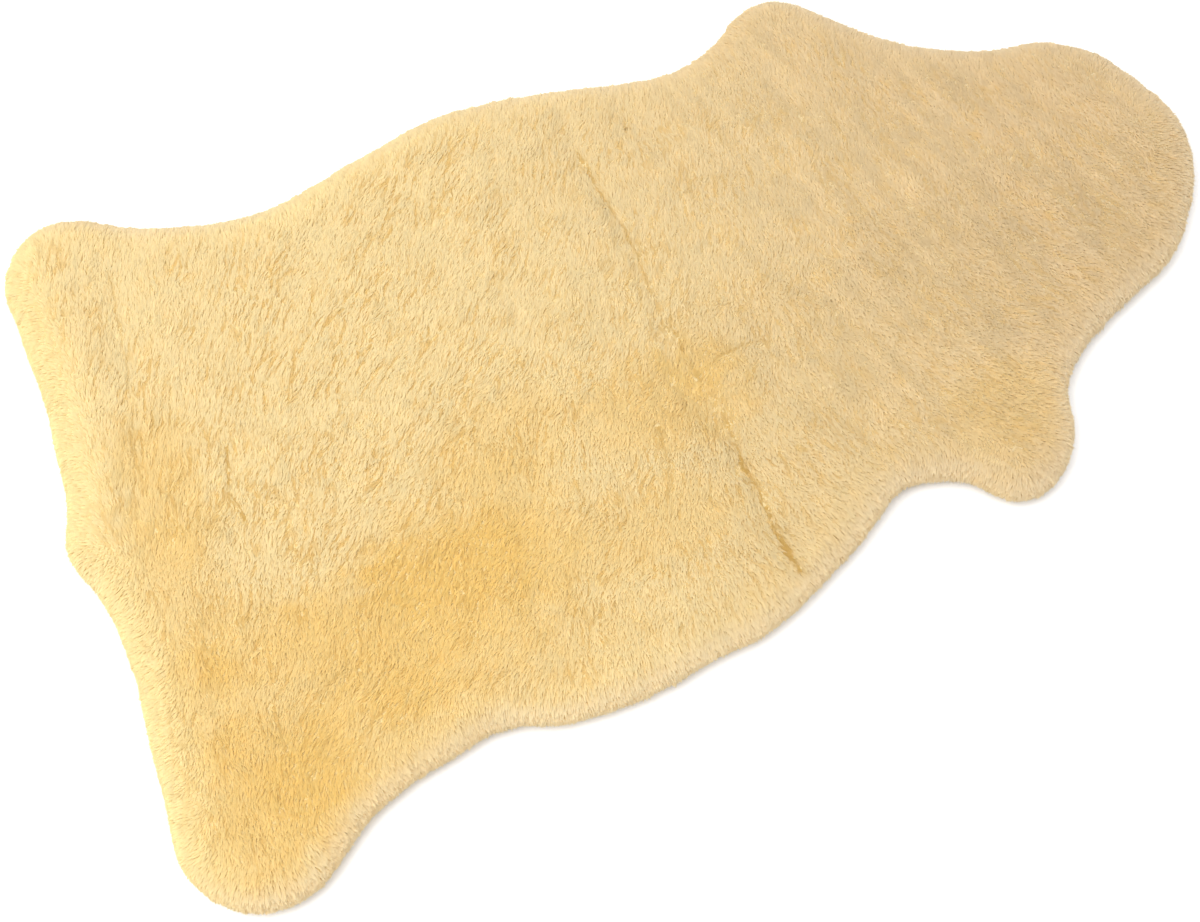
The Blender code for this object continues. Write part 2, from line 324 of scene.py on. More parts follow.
@dataclass(frozen=True)
class WoolFinish:
    """Clipped, honey-tanned wool: pale tips, deeper honey roots; greyer towards the neck, and darker there
    as painted shade.
    """

    name: str = "honey_wool"
    ground: bool = False
    honey_tip: Colour = (0.865, 0.78, 0.475, 1.0)
    honey_root: Colour = (0.80, 0.62, 0.30, 1.0)
    beige_tip: Colour = (0.735, 0.61, 0.405, 1.0)
    beige_root: Colour = (0.67, 0.53, 0.31, 1.0)
    yellow: Colour = (0.83, 0.60, 0.19, 1.0)
    # Cream: the colour of pale wisps, and painted light on the rim that faces the light.
    cream_and_painted_light: Colour = (0.93, 0.88, 0.51, 1.0)
    # A greyer beige, painted as shade on the rim that faces away from the light.
    painted_rim_shade: Colour = (0.80, 0.745, 0.60, 1.0)
    # The roots' deeper honey, darkened further as painted shade in partings and creases.
    crevice_honey_and_painted_shade: Colour = (0.70, 0.48, 0.16, 1.0)
    brown: Colour = (0.13, 0.075, 0.03, 1.0)
    glow: Colour = (0.90, 0.76, 0.46, 1.0)
    through: float = 0.50
    patches: tuple[Patch, ...] = (
        Patch(-0.250, -0.155, 0.130, 0.066, 0.85),
        Patch(-0.185, -0.105, 0.090, 0.050, 0.48),
        Patch(-0.415, -0.070, 0.045, 0.080, 0.40),
        Patch(-0.405, -0.235, 0.075, 0.065, 0.80),
        Patch(-0.310, -0.232, 0.090, 0.045, 0.45),
        Patch(-0.420, -0.150, 0.045, 0.050, 0.45),
        Patch(-0.370, -0.112, 0.055, 0.035, 0.35),
        Patch(-0.135, -0.045, 0.060, 0.040, 0.38),
        Patch(-0.005, -0.068, 0.075, 0.045, 0.52),
        Patch(-0.395, 0.035, 0.040, 0.070, 0.50),
        Patch(0.035, -0.045, 0.030, 0.025, 0.30),
        Patch(-0.070, -0.165, 0.080, 0.040, 0.38),
        Patch(-0.160, -0.225, 0.070, 0.030, 0.25),
        Patch(0.235, -0.185, 0.055, 0.045, 0.35),
    )
    patch_band: Pair = (1.6, 0.0)
    beige_band: Pair = (-0.20, 0.38)
    painted_rim_shade_share: float = 0.7
    # A broad noise and a streaky one, by size, and how far each moves the borders between the tints.
    drift_size: float = 0.12
    streak_size: float = 16 * MM
    beige_drift: float = 0.10
    patch_drift: float = 0.03
    patch_streak: float = 0.06
    # The underfleece's curls.
    curl_size: float = 3 * MM
    curl_height: float = 2 * MM

    def patch_mask(self, x: Value, y: Value) -> Value:
        """How yellow the fleece is at a place.

        Args:
            x: place along the rug.
            y: place across the rug.

        Returns:
            The share of yellow, 0 to 1.
        """
        total: Value | float = 0.0
        for patch in self.patches:
            along = (x - patch.x) / patch.half_length
            across = (y - patch.y) / patch.half_width
            far = along * along + across * across
            total = far.eased(*self.patch_band) * patch.strength + total
        return total.clamped()

    def material(self) -> Material:
        """Makes the wool's material, which reads WOOL_NUMBERS from the mesh.

        Returns:
            The material.
        """
        bench = Bench(self.name)
        x, y = bench.place()
        tip, tone, deep, cream_and_painted_light, painted_rim_shade, stain = (bench.attribute(name) for name in WOOL_NUMBERS)
        drift = bench.noise(self.drift_size) - 0.5
        streaks = (bench.noise(self.streak_size) - 0.5) * self.patch_streak
        moved = drift * self.patch_drift
        yellow = self.patch_mask(x + moved + streaks, y + moved - streaks)
        # Towards the neck: greyer wool, and darker as painted shade of the light falling off away from the
        # rump.
        beige = (x + drift * self.beige_drift).eased(*self.beige_band)
        roots = bench.mixed(beige, self.honey_root, self.beige_root)
        tips = bench.mixed(beige, self.honey_tip, self.beige_tip)
        tips = bench.mixed(yellow, tips, self.yellow)
        # Cream: pale wisps, and painted light on the rim that faces the light.
        tips = bench.mixed(cream_and_painted_light, tips, self.cream_and_painted_light)
        # Painted shade: the rim that faces away from the light turns greyer beige.
        tips = bench.mixed(painted_rim_shade * self.painted_rim_shade_share, tips, self.painted_rim_shade)
        colour = bench.mixed(tip, roots, tips)
        # Partings and creases: the roots' deeper honey with painted shade.
        colour = bench.mixed(deep, colour, self.crevice_honey_and_painted_shade)
        colour = bench.mixed(stain, colour, self.brown)
        sockets: dict[str, Any] = {
            "Base Color": bench.scaled(colour, tone),
            "Roughness": 0.9,
            "Specular IOR Level": 0.15,
            "Sheen Weight": 0.12,
            "Sheen Roughness": 0.5,
        }
        if self.ground:
            curls = bench.noise(self.curl_size, detail=3.0, roughness=0.6)
            sockets["Normal"] = bench.bumped(curls, self.curl_height, strength=0.8)
        return bench.finished(sockets, 0.0 if self.ground else self.through, self.glow)


@dataclass(frozen=True)
class HideFinish:
    """The flesh side of a tanned skin: pale suede, mottled and napped."""

    name: str = "tanned_hide"
    pale: Colour = (0.62, 0.47, 0.29, 1.0)
    deep: Colour = (0.46, 0.32, 0.17, 1.0)
    mottle_size: float = 0.07
    nap_size: float = 1.6 * MM
    nap_height: float = 0.8 * MM
    mottle_share: float = 0.8
    nap_share: float = 0.3
    deep_band: Pair = (0.35, 0.8)

    def material(self) -> Material:
        """Makes the hide's material.

        Returns:
            The material.
        """
        bench = Bench(self.name)
        mottle = bench.noise(self.mottle_size, detail=4.0, roughness=0.6)
        nap = bench.noise(self.nap_size, detail=3.0, roughness=0.7)
        deep = (mottle * self.mottle_share + nap * self.nap_share).eased(*self.deep_band)
        sockets = {
            "Base Color": bench.mixed(deep, self.pale, self.deep),
            "Roughness": nap * 0.15 + 0.8,
            "Normal": bench.bumped(nap + mottle, self.nap_height, strength=0.6),
            "Sheen Weight": 0.2,
        }
        return bench.finished(sockets)


@dataclass(frozen=True)
class FloorFinish:
    """The plain pale floor."""

    name: str = "studio_floor"
    colour: Colour = (0.86, 0.86, 0.86, 1.0)

    def material(self) -> Material:
        """The floor's material."""
        return Bench(self.name).finished({"Base Color": self.colour, "Roughness": 0.9})


@dataclass(frozen=True)
class Noise:
    """Smooth seeded noise over the rug's plan: its seed, its pitch in metres, and its most either way."""

    seed: int
    pitch: float
    most: float = 1.0
    cells: int = 128

    def at(self, plan: Array) -> Array:
        """The noise at plan points.

        Args:
            plan: one point a row.

        Returns:
            One number a point.
        """
        table = np.random.default_rng(self.seed).uniform(-1.0, 1.0, (self.cells, self.cells))
        cell = plan / self.pitch
        low = np.floor(cell).astype(int)
        return self.most * bilinear(table, low % self.cells, (low + 1) % self.cells, smooth(cell - low))


@dataclass(frozen=True)
class Spot:
    """A round place on the rug and how much of something it has at its middle; metres, in plan."""

    x: float
    y: float
    radius: float
    amount: float

    def at(self, plan: Array, core: float = 0.0) -> Array:
        """The amount at plan points; it is full within this share of the radius."""
        far = np.hypot(plan[:, 0] - self.x, plan[:, 1] - self.y)
        return self.amount * eased(self.radius, core * self.radius, far)


@dataclass(frozen=True)
class Locks:
    """Wool gathered round the jittered points of a lattice: fine locks, or the broad tufts of many locks.

    Each lock has four random habits. Two neighbours start to part, and part fully, at the sums in parted.
    """

    habit: str
    seed: int
    pitch: float
    stretch: float
    parted: Pair
    half_width: float
    strength: float
    thinned: Noise
    cells: int = 256
    jitter: Pair = (0.08, 0.92)

    def nearest(
        self, plan: Array, turn: float, draw: np.random.Generator
    ) -> tuple[Array, Array, Array, Array]:
        """Finds the lock that each plan point belongs to.

        Args:
            plan: one point a row.
            turn: direction of the long side of a lock, in radians.
            draw: the lattice's random numbers.

        Returns:
            The lock's four habits, the distance to the parting between it and the next lock, how far those
            two part, 0 to 1, and the way out of the parting.
        """
        places = draw.uniform(*self.jitter, (self.cells, self.cells, 2))
        random = draw.normal(0.0, 1.0, (self.cells, self.cells, 4))
        scale = np.array([self.pitch * math.sqrt(self.stretch), self.pitch / math.sqrt(self.stretch)])
        local = turned(plan, -turn) / scale
        base = np.floor(local).astype(int)
        far = np.full((2, len(plan)), np.inf)
        way = np.zeros((2, len(plan), 2))
        habits = np.zeros((2, len(plan), 4))
        for step in np.ndindex(3, 3):
            cell = base + step - 1
            a, b = cell[:, 0] % self.cells, cell[:, 1] % self.cells
            gap = cell + places[a, b] - local
            found = (gap * gap).sum(1)
            first = found < far[0]
            second = ~first & (found < far[1])
            for store, value in ((far, found), (way, gap), (habits, random[a, b])):
                store[1][first] = store[0][first]
                store[0][first] = value[first]
                store[1][second] = value[second]
        apart = way[0] - way[1]
        edge = (far[1] - far[0]) / (2 * np.maximum(np.linalg.norm(apart, axis=1), 1e-6)) * scale[1]
        parting = eased(*self.parted, habits[0, :, 3] + habits[1, :, 3])
        return habits[0], edge, parting, unit(turned(apart / scale, turn))


@dataclass(frozen=True)
class Crease:
    """A line where the wool parts over a fold of the skin; its points are in millimetres, in plan."""

    points: tuple[Pair, ...]
    half_width: float
    strength: float

    def nearest(self, plan: Array) -> tuple[Array, Array]:
        """The way from the line to each plan point.

        Args:
            plan: one point a row, in metres.

        Returns:
            Distances from the line and unit vectors out of it.
        """
        route = np.array(self.points) * MM
        far = np.full(len(plan), np.inf)
        out = np.zeros_like(plan)
        for start, end in zip(route, route[1:]):
            side = end - start
            share = np.clip((plan - start) @ side / (side @ side), 0.0, 1.0)
            gap = plan - start - share[:, None] * side
            length = np.linalg.norm(gap, axis=1)
            closer = length < far
            far[closer], out[closer] = length[closer], gap[closer]
        return far, unit(out)


@dataclass
class SkinMap:
    """The rug's plan and heights, read from its solid.

    Vertices are one within weld, and are the underside's below underside. Rays start at sky. At each reach
    the wool's edge lies further out than the solid's, or less far.
    """

    pitch: float = 3 * MM
    margin: float = 12 * MM
    hide_inset: float = 16 * MM
    outline_points: int = 480
    curve_steps: int = 8
    weld: float = 0.01 * MM
    underside: float = 0.02 * MM
    sky: float = 1.0
    chunks: int = 40
    ring_blur: int = 2
    slope_blur: int = 6
    reaches: tuple[Spot, ...] = (
        Spot(-0.469, 0.090, 0.060, 4.5 * MM),
        Spot(-0.465, 0.270, 0.040, 3.0 * MM),
        Spot(-0.462, -0.265, 0.080, 5.5 * MM),
        Spot(-0.472, -0.150, 0.050, 1.5 * MM),
        Spot(-0.217, -0.259, 0.045, -4.5 * MM),
        Spot(-0.061, -0.274, 0.050, -3.5 * MM),
        Spot(0.170, -0.232, 0.035, -5.5 * MM),
        Spot(0.275, -0.210, 0.050, 5.5 * MM),
        Spot(0.484, -0.030, 0.090, 5.0 * MM),
        Spot(0.463, 0.067, 0.050, 2.5 * MM),
    )
    hide_edge: Array = field(init=False)
    outline: Array = field(init=False)
    origin: Array = field(init=False)
    layers: dict[str, Array] = field(init=False, default_factory=dict)

    def __post_init__(self) -> None:
        """Reads the solid."""
        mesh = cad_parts[NODE].data
        points = np.empty(len(mesh.vertices) * 3)
        mesh.vertices.foreach_get("co", points)
        points = points.reshape(-1, 3)
        mesh.calc_loop_triangles()
        faces = np.empty(len(mesh.loop_triangles) * 3, int)
        mesh.loop_triangles.foreach_get("vertices", faces)
        faces = faces.reshape(-1, 3)
        self.hide_edge = self.read_hide_edge(points, faces)
        self.outline = self.ring(self.hide_inset)
        self.survey(BVHTree.FromPolygons(points.tolist(), faces.tolist()))

    def read_hide_edge(self, points: Array, faces: Array) -> Array:
        """Walks round the flat underside of the solid.

        Args:
            points: the solid's vertices.
            faces: its triangles.

        Returns:
            The edge of the underside as plan points, anticlockwise and evenly spaced.
        """
        _, merged = np.unique(np.round(points / self.weld).astype(int), axis=0, return_inverse=True)
        merged = merged.ravel()
        place = np.zeros((merged.max() + 1, 3))
        place[merged] = points
        flat = merged[faces[(points[faces][:, :, 2] < self.underside).all(1)]]
        edges = {(int(a), int(b)) for face in flat for a, b in zip(face, np.roll(face, -1))}
        after = {a: b for a, b in edges if (b, a) not in edges}
        walk = [min(after)]
        while after[walk[-1]] != walk[0]:
            walk.append(after[walk[-1]])
        ring = place[walk][:, :2]
        return self.resampled(ring if signed_area(ring) > 0 else ring[::-1])

    def resampled(self, ring: Array) -> Array:
        """Draws a smooth curve through a ring and spaces new points evenly on it.

        Args:
            ring: plan points.

        Returns:
            The new points, outline_points of them.
        """
        before, after, last = (np.roll(ring, shift, 0) for shift in (1, -1, -2))
        square = 2 * before - 5 * ring + 4 * after - last
        cube = 3 * ring - before - 3 * after + last
        shares = np.linspace(0.0, 1.0, self.curve_steps, endpoint=False)
        steps = [0.5 * (2 * ring + (after - before) * t + square * t**2 + cube * t**3) for t in shares]
        fine = np.stack(steps, 1).reshape(-1, 2)
        closed = np.vstack([fine, fine[:1]])
        run = np.r_[0.0, np.cumsum(np.linalg.norm(np.diff(closed, axis=0), axis=1))]
        at = np.linspace(0.0, run[-1], self.outline_points, endpoint=False)
        return np.stack([np.interp(at, run, closed[:, axis]) for axis in (0, 1)], 1)

    def ring(self, offset: float) -> Array:
        """The hide's edge moved outwards.

        Args:
            offset: how far, in metres.

        Returns:
            One plan point for each point of the hide's edge.
        """
        along = np.roll(self.hide_edge, -2, 0) - np.roll(self.hide_edge, 2, 0)
        outward = unit(np.stack([along[:, 1], -along[:, 0]], 1))
        edge = self.hide_edge + outward * self.hide_inset
        moved = self.hide_edge + outward * offset
        for reach in self.reaches:
            moved += outward * reach.at(edge)[:, None]
        for _ in range(self.ring_blur):
            moved = 0.5 * moved + 0.25 * (np.roll(moved, 1, 0) + np.roll(moved, -1, 0))
        return moved

    def survey(self, tree: BVHTree) -> None:
        """Measures the skin on a square lattice.

        Args:
            tree: the solid, for ray casts.
        """
        low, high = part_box(NODE)
        self.origin = np.array(low[:2]) - self.margin
        count = ((np.array(high[:2]) + self.margin - self.origin) / self.pitch).astype(int) + 1
        i, j = np.meshgrid(np.arange(count[0]), np.arange(count[1]), indexing="ij")
        plan = np.stack([i.ravel(), j.ravel()], 1) * self.pitch + self.origin
        down = Vector((0.0, 0.0, -1.0))
        hits = (tree.ray_cast(Vector((x, y, self.sky)), down)[0] for x, y in plan.tolist())
        top = np.array([0.0 if hit is None else hit.z for hit in hits])
        self.layers["top"] = self.blurred(top.reshape(count), times=1)
        self.layers["depth"] = self.signed_depth(plan).reshape(count)
        slope = np.gradient(self.blurred(self.layers["depth"], self.slope_blur), self.pitch)
        self.layers["out_x"], self.layers["out_y"] = -slope[0], -slope[1]

    def signed_depth(self, plan: Array) -> Array:
        """How far inside the fleece's outline each point lies.

        Args:
            plan: one point a row.

        Returns:
            Depths, negative outside.
        """
        start = self.outline
        side = np.roll(start, -1, 0) - start
        length2 = (side * side).sum(1)
        found = []
        for chunk in np.array_split(plan, self.chunks):
            gap = chunk[:, None] - start[None]
            share = np.clip((gap * side).sum(2) / length2, 0.0, 1.0)
            far = np.sqrt(((gap - share[..., None] * side) ** 2).sum(2).min(1))
            below = start[None, :, 1] <= chunk[:, 1:]
            crossing = below != np.roll(below, -1, 1)
            reach = gap[..., 1] * side[:, 0] / np.where(side[:, 1] == 0, 1e-12, side[:, 1])
            inside = (crossing & (gap[..., 0] < reach)).sum(1) % 2 == 1
            found.append(np.where(inside, far, -far))
        return np.concatenate(found)

    @staticmethod
    def blurred(layer: Array, times: int) -> Array:
        """Smooths a layer over its neighbours.

        Args:
            layer: numbers on the lattice.
            times: how often.

        Returns:
            The smoothed layer.
        """
        for axis in (0, 1) * times:
            here = np.arange(layer.shape[axis])
            near, far = (layer.take(here + step, axis, mode="clip") for step in (-1, 1))
            layer = 0.5 * layer + 0.25 * (near + far)
        return layer

    def at(self, name: str, plan: Array) -> Array:
        """A layer at plan points.

        Args:
            name: top, depth, out_x or out_y.
            plan: one point a row.

        Returns:
            One number a point.
        """
        layer = self.layers[name]
        cell = (plan - self.origin) / self.pitch
        low = np.clip(np.floor(cell).astype(int), 0, np.array(layer.shape) - 2)
        return bilinear(layer, low, low + 1, np.clip(cell - low, 0.0, 1.0))

    def outward(self, plan: Array) -> Array:
        """Unit plan vectors towards the nearest edge."""
        return unit(np.stack([self.at("out_x", plan), self.at("out_y", plan)], 1))


def mesh_piece(name: str, points: Array, faces: Array, material: Material) -> Object:
    """Makes an object from triangles.

    Args:
        name: the piece's name.
        points: its vertices, in metres.
        faces: its triangles.
        material: its finish.

    Returns:
        The object, linked to the scene and shaded smooth.
    """
    mesh = bpy.data.meshes.new(name)
    mesh.vertices.add(len(points))
    mesh.vertices.foreach_set("co", points.astype(np.float32).ravel())
    mesh.loops.add(faces.size)
    mesh.loops.foreach_set("vertex_index", faces.astype(np.int32).ravel())
    mesh.polygons.add(len(faces))
    mesh.polygons.foreach_set("loop_start", np.arange(0, faces.size, 3, dtype=np.int32))
    mesh.update(calc_edges=True)
    mesh.shade_smooth()
    mesh.materials.append(material)
    piece = bpy.data.objects.new(name, mesh)
    bpy.context.scene.collection.objects.link(piece)
    return piece


def put_numbers(piece: Object, numbers: dict[str, Array]) -> None:
    """Stores numbers on a piece's vertices, by attribute name and one number a vertex."""
    for name, values in numbers.items():
        piece.data.attributes.new(name, "FLOAT", "POINT").data.foreach_set("value", np.float32(values))


def fit_on_rug(piece: Object) -> None:
    """Makes a piece stand for the rug's solid.

    Args:
        piece: the piece.
    """
    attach(piece, BODY)
    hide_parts(NODE)


@dataclass
class Hide:
    """The tanned skin under the wool."""

    skin: SkinMap
    thickness: float = 1.8 * MM
    sharp_angle: float = 40.0
    finish: HideFinish = field(default_factory=HideFinish)

    def build(self) -> Object:
        """Makes the hide as a flat slab of the skin's outline.

        Returns:
            The hide.
        """
        plan, faces = triangulated(self.skin.hide_edge)
        count = len(plan)
        points = np.vstack([at_height(plan, 0.0), at_height(plan, self.thickness)])
        every = np.vstack([faces[:, ::-1], faces + count, strip(len(self.skin.hide_edge), 0, count)])
        piece = mesh_piece("hide", points, every, self.finish.material())
        piece.data.set_sharp_from_angle(angle=math.radians(self.sharp_angle))
        fit_on_rug(piece)
        return piece

    def area(self) -> float:
        """The cut's area, in square metres."""
        return signed_area(self.skin.hide_edge)


@dataclass
class Underfleece:
    """The dense underwool on the hide, which the locks grow out of.

    Its rim is given from the floor up, as how far inside the rug's outline each ring lies and its height.
    The lattice over its top keeps this share of its spacing clear of the crown's edge.
    """

    skin: SkinMap
    cover: float = 1.6 * MM
    spacing: float = 6 * MM
    clear: float = 0.55
    crown_inset: float = 19 * MM
    rim: tuple[Pair, ...] = (
        (17.0 * MM, 2.1 * MM),
        (8.0 * MM, 2.4 * MM),
        (3.5 * MM, 4.6 * MM),
        (1.4 * MM, 8.5 * MM),
        (1.6 * MM, 13.0 * MM),
        (4.5 * MM, 18.0 * MM),
        (10.0 * MM, 21.6 * MM),
    )
    tip: float = 0.0
    # Its tone darkens the roots' colour as painted shade for the gaps between strands.
    tone: float = 0.81
    finish: WoolFinish = field(default_factory=lambda: WoolFinish("underfleece_wool", ground=True))
    points: Array = field(init=False)
    faces: Array = field(init=False)

    def crown(self, plan: Array) -> Array:
        """Height of the underfleece's top at plan points."""
        return self.skin.at("top", plan) - self.cover

    def build(self) -> Object:
        """Makes the underfleece: a rounded rim of rings and a triangulated top.

        Returns:
            The underfleece.
        """
        inset = self.skin.hide_inset
        rings = [at_height(self.skin.ring(inset - inside), height) for inside, height in self.rim]
        edge = self.skin.ring(inset - self.crown_inset)
        count = len(edge)
        plan, faces = triangulated(edge, self.inner_points())
        top = np.column_stack([plan, self.crown(plan)])
        base = triangulated(rings[0][:, :2])[1]
        sides = [strip(count, row * count, (row + 1) * count) for row in range(len(rings))]
        self.points = np.vstack([*rings, top])
        self.faces = np.vstack([*sides, faces + len(rings) * count, base[:, ::-1]])
        piece = mesh_piece("underfleece", self.points, self.faces, self.finish.material())
        whole = np.ones(len(self.points))
        put_numbers(piece, {"tip": self.tip * whole, "tone": self.tone * whole})
        fit_on_rug(piece)
        return piece

    def inner_points(self) -> Array:
        """Spreads a triangular lattice over the crown.

        Returns:
            Plan points inside the crown's edge.
        """
        low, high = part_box(NODE)
        rows = np.arange(low.y, high.y, self.spacing * math.sqrt(3) / 2)
        columns = np.arange(low.x, high.x, self.spacing)
        x = columns[None] + (np.arange(len(rows)) % 2)[:, None] * self.spacing / 2
        plan = np.stack([x.ravel(), np.repeat(rows, len(columns))], 1)
        return plan[self.skin.at("depth", plan) > self.crown_inset + self.clear * self.spacing]

    def vertex_normals(self) -> Array:
        """Works out the surface's normals.

        Returns:
            One normal a vertex.
        """
        across = crosses(self.points, self.faces)
        total = np.zeros_like(self.points)
        for k in range(3):
            np.add.at(total, self.faces[:, k], across)
        return unit(total)


class Zone(Enum):
    """The parts of a fleece, from tail to neck, one piece of wool each."""

    RUMP = "wool_rump"
    LOIN = "wool_loin"
    RIBS = "wool_ribs"
    SHOULDER = "wool_shoulder"
    NECK = "wool_neck"


@dataclass(frozen=True)
class Habit:
    """How the wool grows at one place along the rug; lengths in metres, angles in degrees."""

    x: float
    height: float
    width: float
    lean: float
    stray: float
    nap: float
    broad: float
    fine: float
    curl: float


@dataclass
class Coat:
    """The clipped wool: strands rooted on the underfleece and gathered into locks and tufts.

    A band says where something starts and where it is full. A name of two things, such as height_lock,
    says how much the second of them changes the first.
    """

    skin: SkinMap
    ground: Underfleece
    finish: WoolFinish = field(default_factory=WoolFinish)
    strands: int = 310000
    seed: int = 7
    habits: tuple[Habit, ...] = (
        Habit(-0.48, 1.6 * MM, 1.35 * MM, 76, 10, 88, 0.85, 0.6, 0.08),
        Habit(-0.36, 1.6 * MM, 1.35 * MM, 76, 10, 66, 0.9, 0.7, 0.08),
        Habit(-0.20, 1.6 * MM, 1.35 * MM, 76, 11, 50, 1.0, 0.8, 0.08),
        Habit(-0.08, 1.6 * MM, 1.35 * MM, 76, 12, 50, 0.9, 0.8, 0.10),
        Habit(0.05, 1.6 * MM, 1.30 * MM, 75, 14, 66, 0.75, 0.8, 0.12),
        Habit(0.20, 1.6 * MM, 1.30 * MM, 74, 16, 88, 0.6, 0.75, 0.13),
        Habit(0.48, 1.6 * MM, 1.30 * MM, 74, 18, 112, 0.5, 0.7, 0.14),
    )
    # Roots: an even spread over each triangle, its jitter, how far a triangle may face down, and the band at
    # the edge where they come to stand twice as close.
    spread: Pair = (0.754878, 0.569840)
    jitter: float = 0.12
    least_up: float = -0.45
    dense_band: Pair = (20 * MM, 4 * MM)
    # The brushing: the bands and the turn, in degrees, of the low side, and how the wool parts at the spine.
    low_x_band: Pair = (-0.28, 0.08)
    low_y_band: Pair = (0.02, -0.24)
    low_side_turn: float = 38.0
    nap_noises: tuple[Noise, ...] = (Noise(11, 70 * MM, 0.22), Noise(12, 25 * MM, 0.12))
    spine_band: float = 34 * MM
    spine_sway: Noise = Noise(72, 40 * MM, 26 * MM)
    rim_band: Pair = (46 * MM, 8 * MM)
    edge_band: Pair = (12 * MM, 2 * MM)
    # Stance: turns and tilts in radians, heights as shares.
    turn_lock: float = 0.08
    calm_rim: float = 0.5
    least_lean: float = 0.78
    flow_lean: float = 0.22
    tilt_stray: float = 0.3
    tilt_edge: float = 0.12
    tilts: Pair = (0.02, 1.36)
    height_lock: float = 0.12
    height_ripple: float = 0.14
    height_strand: float = 0.07
    height_parting: float = 0.30
    least_cosine: float = 0.22
    bends: Pair = (0.8, 1.15)
    sunk: float = 0.4 * MM
    crevice_depth: float = 0.1 * MM
    curls: tuple[Noise, ...] = (Noise(61, 6 * MM), Noise(62, 6 * MM))
    loose_curl: float = 0.6
    # The waves, in turn along x and along y, and how much of them is lost at the rim.
    waves: tuple[Noise, ...] = (
        Noise(41, 18 * MM, 2.2 * MM),
        Noise(42, 18 * MM, 2.2 * MM),
        Noise(43, 6.5 * MM, 0.7 * MM),
        Noise(44, 6.5 * MM, 0.7 * MM),
    )
    still_rim: float = 0.8
    floor_gap: float = 0.4 * MM
    # Ripples over the shoulder.
    ripples: Noise = Noise(71, 9 * MM)
    ripple_turn: float = 105.0
    ripple_stretch: float = 5.0
    ripple_band: Pair = (0.0, 0.2)
    # Locks, on one lattice for each direction of brushing, in degrees.
    kinds: tuple[Locks, ...] = (
        Locks("broad", 51, 13 * MM, 3.4, (-2.2, 0.4), 1.9 * MM, 0.80, Noise(35, 22 * MM)),
        Locks("fine", 61, 5.5 * MM, 2.2, (-0.6, 1.4), 1.2 * MM, 0.52, Noise(36, 22 * MM)),
    )
    lock_turns: tuple[float, ...] = (45.0, 65.0, 85.0, 105.0, 125.0)
    lock_sway: Noise = Noise(34, 20 * MM, 0.15)
    thinned_band: Pair = (-0.80, 0.15)
    across_band: Pair = (0.70, 0.95)
    parting_core: float = 0.2
    parting_reach: float = 2.5
    parting_rim: float = 0.85
    # Creases over the skin's folds, how uneven and ragged they are, and the painted shade and the turn
    # beside them.
    creases: tuple[Crease, ...] = (
        Crease(((20, 172), (24, 112), (28, 73), (24, 34), (22, -3), (24, -29), (25, -63)), 2.7 * MM, 0.85),
        Crease(
            ((29, -96), (27, -120), (26, -156), (26, -174), (27, -194), (27, -214), (27, -236)),
            4.2 * MM,
            1.25,
        ),
        Crease(((24, -62), (52, -50), (88, -52)), 2.6 * MM, 0.7),
        Crease(((-23, -86), (-28, -120), (-47, -158)), 2.6 * MM, 0.8),
        Crease(((-337, 42), (-345, 8), (-347, -22)), 2.8 * MM, 1.1),
        Crease(((-378, 236), (-388, 160), (-402, 80), (-424, 10)), 2.0 * MM, 0.6),
        Crease(((-405, -108), (-419, -176)), 1.6 * MM, 0.4),
        Crease(((-377, -179), (-371, -218)), 1.6 * MM, 0.4),
    )
    crease_mean: float = 0.90
    crease_sway: Noise = Noise(37, 25 * MM, 0.25)
    crease_limits: Pair = (0.65, 1.1)
    frays: tuple[Noise, ...] = (Noise(38, 3 * MM, 0.3), Noise(39, 8 * MM, 0.3))
    shade: float = 0.25
    shade_band: Pair = (3.5, 0.5)
    follow_share: float = 0.8
    follow_band: Pair = (6 * MM, 2 * MM)
    # Tints: the way to the light in plan, the bands of the painted light on the lit rim and of the painted
    # shade on the far rim, pale wisps, and how much chance, the lock, a ripple, the rim, a fold and a
    # parting each change a strand's tone. Chance and the lock are the wool's own tone; the ripple's share is
    # painted light on ridges and painted shade in hollows, the rim's is painted light, and the fold's and
    # the parting's are painted shade.
    to_light: Pair = (-0.94, 0.34)
    painted_light_rim_band: Pair = (55 * MM, 8 * MM)
    painted_light_x_band: Pair = (0.0, -0.3)
    painted_rim_shade_band: Pair = (26 * MM, 3 * MM)
    wisps: float = 0.10
    wisp_band: Pair = (0.35, -0.10)
    cream_wisp: float = 0.35
    tone_shares: tuple[float, ...] = (0.020, 0.024, 0.085, 0.04, -0.17, -0.02)
    tones: Pair = (0.8, 1.15)
    stains: tuple[Spot, ...] = (
        Spot(0.067, 0.174, 2.6 * MM, 0.75),
        Spot(0.087, -0.051, 2.2 * MM, 0.25),
        Spot(0.209, -0.037, 2.2 * MM, 0.25),
    )
    stain_core: float = 0.3
    # Blades: their twist and width, how softly and how roundly they are shaded, and for each of their five
    # corners its tip, its side and its place in a cell of the texture map.
    twist: float = 0.20
    widths: Pair = (0.7, 1.3)
    width_edge: float = 0.35
    width_wisp: float = 0.3
    width_parting: float = 0.2
    least_height: float = 0.2 * MM
    soften: float = 0.85
    round: float = 0.08
    corner_tips: tuple[float, ...] = (0.2, 0.2, 0.65, 0.65, 1.0)
    corner_sides: tuple[float, ...] = (-1.0, 1.0, -1.0, 1.0, 0.0)
    corner_cells: tuple[Pair, ...] = ((0.15, 0.1), (0.85, 0.1), (0.15, 0.5), (0.85, 0.5), (0.5, 0.9))
    blade: tuple[tuple[int, int, int], ...] = ((0, 1, 3), (0, 3, 2), (2, 3, 4))

    def habit(self, name: str, x: Array) -> Array:
        """A field of Habit at places along the rug, between the table's rows."""
        return np.interp(x, [h.x for h in self.habits], [getattr(h, name) for h in self.habits])

